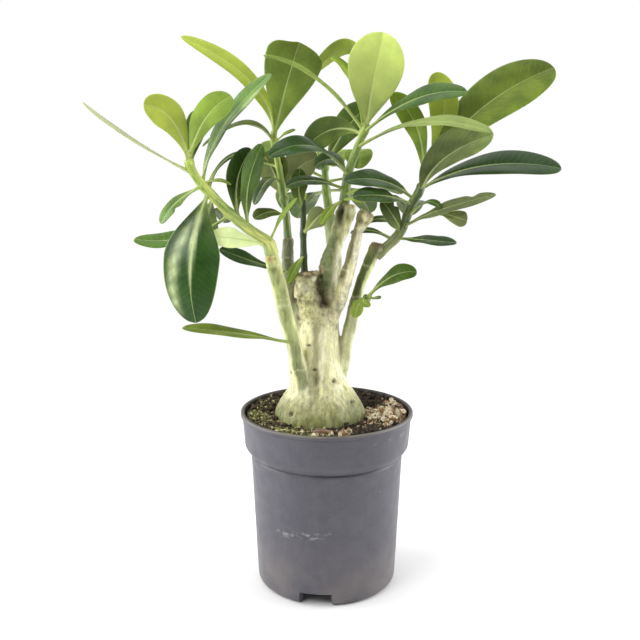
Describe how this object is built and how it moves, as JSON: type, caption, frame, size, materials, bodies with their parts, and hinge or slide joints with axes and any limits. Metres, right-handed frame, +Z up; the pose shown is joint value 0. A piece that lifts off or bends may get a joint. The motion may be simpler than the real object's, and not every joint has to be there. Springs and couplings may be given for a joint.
{
  "type": "potted plant",
  "caption": "Desert rose in a grey nursery pot: a swollen pale caudex forks into pruned branches that carry fans of long, round-tipped green leaves.",
  "frame": {"origin": "middle of the flat pad under the pot, on the surface that the pot stands on", "axes": "+Z up along the pot's axis; -Y towards the viewer of the picture, +X to that viewer's right"},
  "size_m": [0.3064, 0.1804, 0.3751],
  "materials": {
    "grey_plastic": "satin, slightly scuffed",
    "peat": "crumbly moist peat, matt",
    "pale_bark": "smooth pale bark with fine lengthwise flutes",
    "leaf_lime": "young leathery leaf, satin",
    "leaf_green": "leathery leaf, glossy above and dull below",
    "leaf_olive": "leathery leaf, dull underside",
    "leaf_dark": "old leathery leaf, glossy"
  },
  "bodies": {
    "root": {"pot": "grey_plastic", "soil": "peat", "trunk": "pale_bark", "shoot_left": "leaf_green", "shoot_back_left": "leaf_lime", "shoot_centre": "leaf_lime", "shoot_right": "leaf_green", "shoot_small": "leaf_olive", "sprout_right": "leaf_dark", "shoot_back": "leaf_dark", "leaf_low_left": "leaf_green", "leaf_behind_left": "leaf_dark"}
  },
  "joints": []
}
